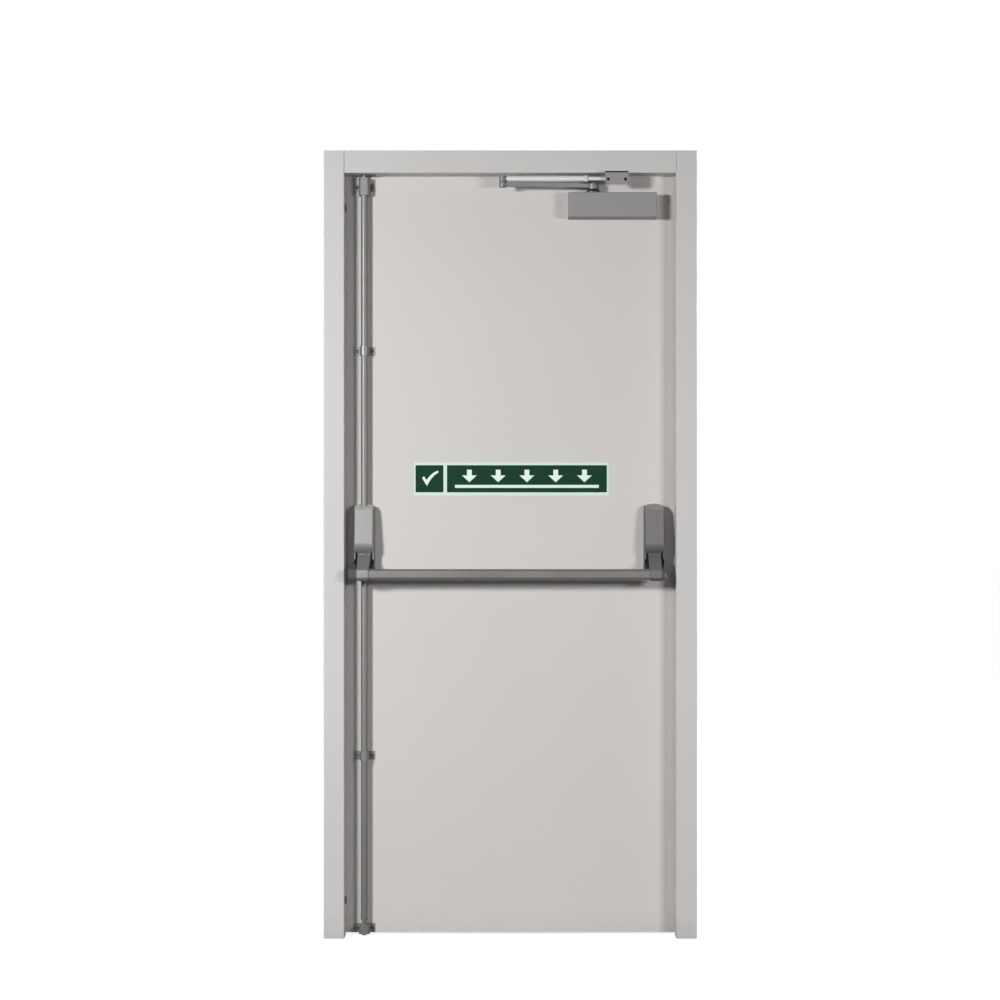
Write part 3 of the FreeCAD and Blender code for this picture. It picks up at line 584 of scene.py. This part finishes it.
def guideScrews():
    mesh = bmesh.new()
    for name in guideScrew["guides"]:
        low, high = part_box(name)
        for side, x in ((-1, low.x + guideScrew["edge"]), (1, high.x - guideScrew["edge"])):
            seat = Vector((x, high.y - guideScrew["sheet"], (low.z + high.z) / 2))
            turn = guideScrew["turn"] + side * guideScrew["turnStep"]
            addScrew(mesh, seat, (0, -1, 0), guideScrew["radius"], guideScrew["height"], turn)
    newPiece("guideScrews", mesh, "leaf", "guide_silver", screwFinish, darkScrewAndRecessShade)


keeperScrew = {"inset": 9 * mm, "radius": 4.0 * mm, "height": 1.2 * mm}


def keeperScrews():
    mesh = bmesh.new()
    low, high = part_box("top_keeper")
    for x in (low.x + keeperScrew["inset"], high.x - keeperScrew["inset"]):
        seat = Vector((x, (low.y + high.y) / 2, low.z))
        addScrew(mesh, seat, (0, 0, -1), keeperScrew["radius"], keeperScrew["height"])
    newPiece("keeperScrews", mesh, "frame", "zinc_steel", hubFinish, darkScrewAndRecessShade)


bracketScrew = {
    "reach": 22.8 * mm, "rise": 12.5 * mm, "radius": 4.3 * mm, "height": 1.4 * mm, "turn": 0.2,
    "stripHeight": 3.6 * mm, "stripProud": 0.8 * mm,
}


def bracketScrews():   # dark screws on the closer's bracket, and a dark strip along its top, a painted shadow line
    look = bracketScrew
    screws, strip = bmesh.new(), bmesh.new()
    low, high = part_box("closer_bracket")
    for side in (-1, 1):
        x = (low.x + high.x) / 2 + side * look["reach"]
        seat = Vector((x, low.y, low.z + look["rise"]))
        addScrew(screws, seat, (0, -1, 0), look["radius"], look["height"], look["turn"])
    newPiece("bracketScrews", screws, "frame", "arm_steel", darkScrewAndRecessShade, darkScrewAndRecessShade)
    # the dark strip is a painted shadow line along the bracket's top edge
    outline = rectangle(low.x, high.x, high.z - look["stripHeight"], high.z)
    addPrism(strip, outline, low.y - look["stripProud"], low.y)
    newPiece("bracketShadowStrip", strip, "frame", "seal_rubber", bufferFinish)


plug = {
    "fromFloor": 98 * mm, "fromTop": 150 * mm, "setback": 25 * mm,
    "dome": pairsMm((11.5, 0), (11.5, 1.5), (10.5, 3.2), (7.5, 4.4), (3.0, 4.8)),
    "cap": pairsMm((11.5, 0), (11.5, 0.5), (10.6, 1.2), (6.0, 1.5), (2.0, 1.6)),
}


def jambPlugs():   # rubber plugs in the latch jamb's access holes, painted caps in the hinge jamb's
    for end, side, profile, slotName, material in (
            ("latch", 1, plug["dome"], "seal_rubber", plugFinish),
            ("hinge", -1, plug["cap"], "frame_paint", finishes["frame_paint"])):
        mesh = bmesh.new()
        low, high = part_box(end + "_jamb")
        revealX = high.x if side > 0 else low.x
        for z in (low.z + plug["fromFloor"], high.z - plug["fromTop"]):
            addTurned(mesh, Vector((revealX, low.y + plug["setback"], z)), (side, 0, 0), profile)
        newPiece(end + "JambPlugs", mesh, "frame", slotName, material)


hinge = {
    "gap": 5 * mm, "plate": 2 * mm, "knuckle": 7 * mm, "levels": ("bottom", "middle", "top"),
    "screwEdge": 9 * mm, "screwStep": 14 * mm, "screwRises": (-36 * mm, -13 * mm, 13 * mm, 36 * mm),
    "screwRadius": 3.6 * mm, "screwTurn": 0.5,
    "screwHeight": 0.25 * mm,   # nearly flush, as the plates almost touch when the door is shut
    "cap": pairsMm((6.8, 0), (6.8, 1.0), (6.0, 2.0), (4.4, 2.7), (2.2, 3.0)),
}


def hingeFittings():   # screws on the plates, and a cap at the free end of each knuckle
    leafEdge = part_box("push_skin")[1].x
    pinX = leafEdge + hinge["gap"] / 2
    frameFace = leafEdge + hinge["gap"] - hinge["plate"]
    halves = {
        "frame": {"body": "frame", "face": frameFace, "outward": -1, "capUp": -1},
        "door": {"body": "leaf", "face": leafEdge + hinge["plate"], "outward": 1, "capUp": 1},
    }
    for half, look in halves.items():
        screws, caps = bmesh.new(), bmesh.new()
        for level in hinge["levels"]:
            low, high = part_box("hinge_" + half + "_leaf_" + level)
            middleZ = (low.z + high.z) / 2
            for i, rise in enumerate(hinge["screwRises"]):
                y = low.y + hinge["screwEdge"] + hinge["screwStep"] * (i % 2)
                addScrew(screws, Vector((look["face"], y, middleZ + rise)), (look["outward"], 0, 0),
                         hinge["screwRadius"], hinge["screwHeight"], hinge["screwTurn"] * i)
            seat = Vector((pinX, high.y - hinge["knuckle"], high.z if look["capUp"] > 0 else low.z))
            addTurned(caps, seat, (0, 0, look["capUp"]), hinge["cap"])
        newPiece(half + "HingeScrews", screws, look["body"], "hinge_steel", screwFinish, darkScrewAndRecessShade)
        newPiece(half + "HingeCaps", caps, look["body"], "hinge_steel", finishes["hinge_steel"])


headEar = {
    "wide": 4 * mm, "gap": 0.2 * mm, "soft": 0.6 * mm, "softSteps": 2,
    "outline": pairsMm((0, 0), (32, 0), (27, 35), (21, 41.5), (0, 41.5)),   # depth, drop below the cover
    "bufferInset": 2.4 * mm, "bufferShare": 0.7,   # share of the way down the ear's front
    "bufferLonger": 3.0, "bufferSides": 24,
    "buffer": pairsMm((2.7, 0), (2.7, 1.6), (2.2, 2.4), (1.2, 2.8)),
}


def headEars():   # sides of the heads below the covers, beside the levers, each with a rubber buffer
    look = headEar
    buffers = bmesh.new()
    for end in ("latch", "hinge"):
        ears = bmesh.new()
        cover = end + "_head_cover"
        low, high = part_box(cover)
        outline = [(high.y - depth, low.z - look["gap"] - drop) for depth, drop in look["outline"]]
        (topY, topZ), (footY, footZ) = outline[1:3]
        outward = (0, footZ - topZ, topY - footY)
        bufferY = topY + (footY - topY) * look["bufferShare"]
        bufferZ = topZ + (footZ - topZ) * look["bufferShare"]
        for way, edge in ((-1, low.x), (1, high.x)):
            inner = edge - way * look["wide"]
            addSlab(ears, [(edge, y, z) for y, z in outline], [(inner, y, z) for y, z in outline])
            seat = Vector((edge - way * look["bufferInset"], bufferY, bufferZ))
            addTurned(buffers, seat, outward, look["buffer"], look["bufferSides"], look["bufferLonger"])
        edges = ears.edges[:]
        bmesh.ops.bevel(ears, geom=edges, offset=look["soft"], segments=look["softSteps"], affect="EDGES")
        material = ownFinish.get(cover, finishes["cover_silver"])
        newPiece(end + "HeadEars", ears, "leaf", "cover_silver", material)
    newPiece("leverBuffers", buffers, "leaf", "seal_rubber", bufferFinish)


sleeve = {
    "corner": 8 * mm, "cornerSteps": 6, "thick": 0.6 * mm, "latchLength": 19 * mm, "hingeLength": 5 * mm,
}


def addSleeve(mesh, capBox, side):   # skirt of an end cap, round the bar up to the lever
    low, high = capBox
    middle = (low + high) / 2
    halfY = (high.y - low.y) / 2 - sleeve["corner"]
    halfZ = (high.z - low.z) / 2 - sleeve["corner"]
    thick = sleeve["thick"]
    outer = low.x if side < 0 else high.x
    inner = (high.x + sleeve["latchLength"]) if side < 0 else (low.x - sleeve["hingeLength"])
    rings = []
    for x, grow in ((inner, 0), (inner, thick), (outer, thick), (outer, -thick)):
        radius = sleeve["corner"] + grow
        ring = []
        for quarter, (signY, signZ) in enumerate(((1, 1), (-1, 1), (-1, -1), (1, -1))):
            for step in range(sleeve["cornerSteps"] + 1):
                angle = (quarter + step / sleeve["cornerSteps"]) * math.pi / 2
                y = middle.y + signY * halfY + radius * math.cos(angle)
                z = middle.z + signZ * halfZ + radius * math.sin(angle)
                ring.append(mesh.verts.new((x, y, z)))
        rings.append(ring)
    faces = []
    for first, second in zip(rings, rings[1:] + rings[:1]):
        for i in range(len(first)):
            faces.append(mesh.faces.new((first[i - 1], first[i], second[i], second[i - 1])))
    bmesh.ops.recalc_face_normals(mesh, faces=faces)


headFitting = {
    "screwRise": 62 * mm, "screwBack": 14 * mm, "screwRadius": 2.8 * mm, "screwHeight": 0.9 * mm,
    "capScrewRadius": 3.4 * mm, "capScrewHeight": 1.0 * mm,
}


def headFittings():   # screws in the sides of the covers and in the bar's ends, and the bar's sleeves
    look = headFitting
    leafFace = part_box("push_skin")[0].y
    screws, capScrews, sleeves = bmesh.new(), bmesh.new(), bmesh.new()
    for end, side in (("latch", -1), ("hinge", 1)):
        low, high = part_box(end + "_head_cover")
        for way, x in ((-1, low.x), (1, high.x)):
            seat = Vector((x, leafFace - look["screwBack"], low.z + look["screwRise"]))
            addScrew(screws, seat, (way, 0, 0), look["screwRadius"], look["screwHeight"])
        low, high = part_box(end + "_bar_cap")
        seat = (low + high) / 2
        seat.x = low.x if side < 0 else high.x
        addScrew(capScrews, seat, (side, 0, 0), look["capScrewRadius"], look["capScrewHeight"])
        addSleeve(sleeves, (low, high), side)
    # the sleeves are dark, a painted shade over the bar's stub
    newPiece("barEndSleeves", sleeves, "push_bar", "bar_cap_plastic", sleeveShadeFinish)
    newPiece("coverScrews", screws, "leaf", "head_steel", screwFinish, darkScrewAndRecessShade)
    newPiece("barCapScrews", capScrews, "push_bar", "head_steel", screwFinish, darkScrewAndRecessShade)


closerFitting = {
    "lockNut": pairsMm((8.2, 0), (9.2, 0.8), (9.2, 7.2), (8.2, 8.0)), "lockNutSides": 6,
    "collar": pairsMm((21, 0), (21, 2.0), (19, 4.0), (16, 6.0), (13, 8.5)), "collarGap": 1 * mm,
    "clip": pairsMm((8.0, 0), (8.0, 1.4), (7.4, 1.8), (5.4, 1.8), (5.4, 4.8), (4.4, 5.4)),
    "clipGap": 0.5 * mm, "eyeRadius": 11 * mm,
    "spindleEnd": pairsMm((6.0, 0), (6.0, 1.6), (5.2, 2.2), (3.0, 2.2), (3.0, 0.8)),
    "valveInsets": (24 * mm, 42 * mm), "valveRadius": 4.0 * mm, "valveHeight": 0.9 * mm, "valveTurn": 0.9,
}


def closerFittings():
    look = closerFitting
    elbow = elbowCentre()
    rodLow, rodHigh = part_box("forearm_rod")
    eye = Vector((rodHigh.x - look["eyeRadius"], (rodLow.y + rodHigh.y) / 2, elbow.z))
    along = (eye - elbow).normalized()
    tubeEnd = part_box("forearm_tube")[1].x
    nut = bmesh.new()
    seat = elbow + along * ((tubeEnd - elbow.x) / along.x)
    addTurned(nut, seat, along, look["lockNut"], look["lockNutSides"])
    newPiece("forearmLockNut", nut, "closer_forearm", "arm_steel", forearmFinish)
    clip = bmesh.new()
    addTurned(clip, Vector((eye.x, eye.y, rodLow.z - look["clipGap"])), (0, 0, -1), look["clip"])
    newPiece("pivotClip", clip, "frame", "arm_steel", finishes["arm_steel"])
    axis = boxCentre("arm_nut")
    spindle = bmesh.new()
    addTurned(spindle, Vector((axis.x, axis.y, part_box("arm_nut")[1].z)), (0, 0, 1), look["spindleEnd"])
    newPiece("spindleEnd", spindle, "closer_arm", "arm_steel", screwFinish)
    low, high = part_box("closer_cover")
    collar = bmesh.new()
    addTurned(collar, Vector((axis.x, axis.y, high.z + look["collarGap"])), (0, 0, 1), look["collar"])
    newPiece("spindleCollar", collar, "closer_arm", "arm_steel", hubFinish)
    valves = bmesh.new()
    for inset in look["valveInsets"]:
        seat = Vector((high.x - inset, (low.y + high.y) / 2, low.z))
        addScrew(valves, seat, (0, 0, -1), look["valveRadius"], look["valveHeight"], look["valveTurn"])
    newPiece("closerValves", valves, "leaf", "closer_silver", screwFinish, darkScrewAndRecessShade)


guideScrews()
keeperScrews()
bracketScrews()
jambPlugs()
hingeFittings()
headEars()
headFittings()
closerFittings()
print("screws and fittings made")


# sign: green panels on the pale plate, a tick, and marks that point down to the bar

sign = {
    "rimLeft": 3.5 * mm, "rimRight": 5.4 * mm, "rimTop": 7 * mm, "rimBottom": 9 * mm,
    "tickPanel": 75 * mm, "divider": 9.7 * mm, "film": 0.25 * mm,
    "tick": pairsMm((-20, 2), (-15, 7), (-8, -3), (2, 9), (13, 18),   # from the middle of its panel
                    (24, 22), (24, 17), (13, 9), (4, -1), (-7, -19)),
    "arrows": 5, "arrowHeight": 34 * mm, "arrowWidth": 40 * mm, "stem": 13 * mm, "stemShare": 0.45,
    "barHeight": 8 * mm, "barGap": 7 * mm, "barShare": 0.9,
}


def signFilm():
    low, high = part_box("sign_plate")
    left, right = low.x + sign["rimLeft"], high.x - sign["rimRight"]
    bottom, top = low.z + sign["rimBottom"], high.z - sign["rimTop"]
    split = left + sign["tickPanel"]
    panelStart = split + sign["divider"]
    front = low.y - sign["film"]
    panels = bmesh.new()
    addPrism(panels, rectangle(left, split, bottom, top), front, low.y)
    addPrism(panels, rectangle(panelStart, right, bottom, top), front, low.y)
    newPiece("signPanels", panels, "leaf", "sign_plastic", greenFinish)

    marks = bmesh.new()
    face = front - sign["film"]
    tickX, middleZ = (left + split) / 2, (bottom + top) / 2
    addPrism(marks, [(tickX + x, middleZ + z) for x, z in sign["tick"]], face, front)
    middle = (panelStart + right) / 2
    width = (right - panelStart) * sign["barShare"]
    barLow = middleZ - (sign["barHeight"] + sign["barGap"] + sign["arrowHeight"]) / 2
    barHigh = barLow + sign["barHeight"]
    addPrism(marks, rectangle(middle - width / 2, middle + width / 2, barLow, barHigh), face, front)
    tip = barHigh + sign["barGap"]
    crown = tip + sign["arrowHeight"]
    neck = crown - sign["arrowHeight"] * sign["stemShare"]
    half, stem = sign["arrowWidth"] / 2, sign["stem"] / 2
    for i in range(sign["arrows"]):
        x = middle + width * ((i + 0.5) / sign["arrows"] - 0.5)
        addPrism(marks, [(x, tip), (x + half, neck), (x + stem, neck), (x + stem, crown),
                         (x - stem, crown), (x - stem, neck), (x - half, neck)], face, front)
    newPiece("signMarks", marks, "leaf", "sign_plastic", markFinish)


signFilm()
print("sign made")


# floor, backdrop, lamps and camera

studioFloor = {
    "size": 60.0, "cells": 24, "middleY": 0.35, "roughness": 0.9,
    "fade": (0.3, 0.8),            # distance from the floor's middle, which is behind the door
    "doorway": (-0.35, -0.10),     # y from the floor's middle, from before the door to behind it
    "albedo": {"front": 0.36, "behind": 0.55, "far": 0.10},
    "white": {"front": 0.82, "behind": 0.48, "far": 0.99},   # seen by the camera only
    "gloss": {"far": 0.32, "front": 0.06, "behind": 0.7, "farSpan": (-2.8, -1.4)},   # in reflections only
}


def floorFinish():   # white all round, but behind the door it is pale and keeps the shadow
    finish, tree, shader, place = newFinish("floorWhite")
    shader.inputs["Roughness"].default_value = studioFloor["roughness"]
    shader.inputs["Specular IOR Level"].default_value = 0.0
    reach = tree.nodes.new("ShaderNodeVectorMath")
    reach.operation = "LENGTH"
    tree.links.new(place, reach.inputs[0])
    away = spread(tree, reach.outputs["Value"], *studioFloor["fade"], 0, 1)
    y = splitXyz(tree, place)["Y"]
    levels = {}
    for kind in ("albedo", "white"):
        look = studioFloor[kind]
        near = spread(tree, y, *studioFloor["doorway"], look["front"], look["behind"])
        levels[kind] = mixLevel(tree, away, near, look["far"])
    tree.links.new(levels["albedo"], shader.inputs["Base Color"])
    path = tree.nodes.new("ShaderNodeLightPath")
    shader.inputs["Emission Color"].default_value = (1, 1, 1, 1)
    seen = product(tree, levels["white"], path.outputs["Is Camera Ray"])
    tree.links.new(seen, shader.inputs["Emission Strength"])
    look = studioFloor["gloss"]
    gloss = tree.nodes.new("ShaderNodeMath")
    gloss.operation = "ADD"
    tree.links.new(spread(tree, y, *look["farSpan"], look["far"], look["front"]), gloss.inputs[0])
    tree.links.new(spread(tree, y, *studioFloor["doorway"], 0, look["behind"]), gloss.inputs[1])
    mirrored = tree.nodes.new("ShaderNodeEmission")
    tree.links.new(gloss.outputs[0], mirrored.inputs["Strength"])
    pick = tree.nodes.new("ShaderNodeMixShader")
    tree.links.new(path.outputs["Is Glossy Ray"], pick.inputs[0])
    tree.links.new(shader.outputs["BSDF"], pick.inputs[1])
    tree.links.new(mirrored.outputs["Emission"], pick.inputs[2])
    tree.links.new(pick.outputs["Shader"], tree.nodes["Material Output"].inputs["Surface"])
    return finish


def makeFloor():
    mesh = bmesh.new()
    cells = studioFloor["cells"]
    bmesh.ops.create_grid(mesh, x_segments=cells, y_segments=cells, size=studioFloor["size"] / 2)
    data = bpy.data.meshes.new("studioFloor")
    mesh.to_mesh(data)
    mesh.free()
    data.materials.append(floorFinish())
    floor = bpy.data.objects.new("studioFloor", data)
    floor.location = ((cadLow.x + cadHigh.x) / 2, studioFloor["middleY"], 0)
    scene.collection.objects.link(floor)


backdrop = {
    "seen": 1.0, "ambient": 0.062, "behind": 0.95, "frontLevel": 0.20, "frontSteep": 0.08,
    "steepSpan": (0.05, 0.4),     # the direction's unsigned z, from level to steep
    "behindSpan": (-0.3, 0.5),    # the direction's y, from before the door to behind it
}


def makeWorld():   # white to the eye, pale behind the door and dim before it for gloss, low for shade
    world = bpy.data.worlds.new("studio")
    scene.world = world
    world.use_nodes = True
    tree = world.node_tree
    direction = splitXyz(tree, tree.nodes.new("ShaderNodeTexCoord").outputs["Generated"])
    steepness = unsigned(tree, direction["Z"])
    front = spread(tree, steepness, *backdrop["steepSpan"], backdrop["frontLevel"], backdrop["frontSteep"])
    rearward = spread(tree, direction["Y"], *backdrop["behindSpan"], 0, 1)
    gloss = mixLevel(tree, rearward, front, backdrop["behind"])
    path = tree.nodes.new("ShaderNodeLightPath").outputs
    bounce = tree.nodes.new("ShaderNodeMath")
    bounce.operation = "MAXIMUM"
    tree.links.new(path["Is Glossy Ray"], bounce.inputs[0])
    tree.links.new(path["Is Transmission Ray"], bounce.inputs[1])
    level = mixLevel(tree, bounce.outputs[0], backdrop["ambient"], gloss)
    shade = tree.nodes["Background"]
    shade.inputs["Color"].default_value = (1, 1, 1, 1)
    tree.links.new(mixLevel(tree, path["Is Camera Ray"], level, backdrop["seen"]), shade.inputs["Strength"])


lampTarget = Vector(((cadLow.x + cadHigh.x) / 2, 0.05, 1.1))   # middle of the door
backLamp = {"axis": 1, "aim": 0.3, "wide": 1.0, "tall": 1.0}
sideLamp = {"axis": 0, "aim": 0.8, "wide": 1.0, "tall": 1.6, "share": 0.34}
lamps = {   # aim is a height, share is of full light on the faces that look along the axis
    "keyLeft": {
        "axis": 1, "place": (-2.70, -3.05, 1.97), "aim": -0.7, "wide": 0.50, "tall": 0.46, "share": 0.62,
    },
    "fillRight": {
        "axis": 1, "place": (1.90, -3.05, 1.56), "aim": -2.4, "wide": 0.95, "tall": 0.42, "share": 0.27,
    },
    "backLeft": {**backLamp, "place": (2.0, 3.2, 2.4), "share": 0.42},
    "backRight": {**backLamp, "place": (-3.0, 3.2, 2.4), "share": 0.27},
    "sideLeft": {**sideLamp, "place": (-5.0, 0.6, 1.5)},
    "sideRight": {**sideLamp, "place": (4.0, 0.6, 1.5)},
}


def makeLamps():
    for name, look in lamps.items():
        place = Vector(look["place"])
        away = lampTarget - place
        aim = Vector((lampTarget.x, lampTarget.y, look["aim"])) - place   # low, for the foot of the leaf
        facing = abs(away[look["axis"]]) / away.length * aim.normalized().dot(away.normalized())
        data = bpy.data.lights.new(name, "AREA")
        data.shape = "RECTANGLE"
        data.size = look["wide"]
        data.size_y = look["tall"]
        data.energy = (math.pi * away.length) ** 2 * look["share"] / facing
        lamp = bpy.data.objects.new(name, data)
        lamp.location = place
        lamp.rotation_mode = "QUATERNION"
        lamp.rotation_quaternion = aim.to_track_quat("-Z", "Y")
        scene.collection.objects.link(lamp)


shot = {
    "away": 5.0,             # from the front of the frame
    "across": -0.4955, "height": 1.150,
    "focalPixels": 1877, "imagePixels": 1000, "axisPixel": (511, 507), "sensor": 36.0,
}


def makeCamera():
    data = bpy.data.cameras.new("photoView")
    data.sensor_width = shot["sensor"]
    data.lens = shot["focalPixels"] / shot["imagePixels"] * shot["sensor"]
    half = shot["imagePixels"] / 2
    data.shift_x = (half - shot["axisPixel"][0]) / shot["imagePixels"]
    data.shift_y = (shot["axisPixel"][1] - half) / shot["imagePixels"]
    data.dof.use_dof = False
    camera = bpy.data.objects.new("photoView", data)
    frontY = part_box("latch_jamb")[0].y
    camera.location = (shot["across"], frontY - shot["away"], shot["height"])
    camera.rotation_euler = (math.radians(90), 0, 0)
    scene.collection.objects.link(camera)
    scene.camera = camera


makeFloor()
makeWorld()
makeLamps()
makeCamera()
scene.view_settings.view_transform = "Standard"
print("studio made")
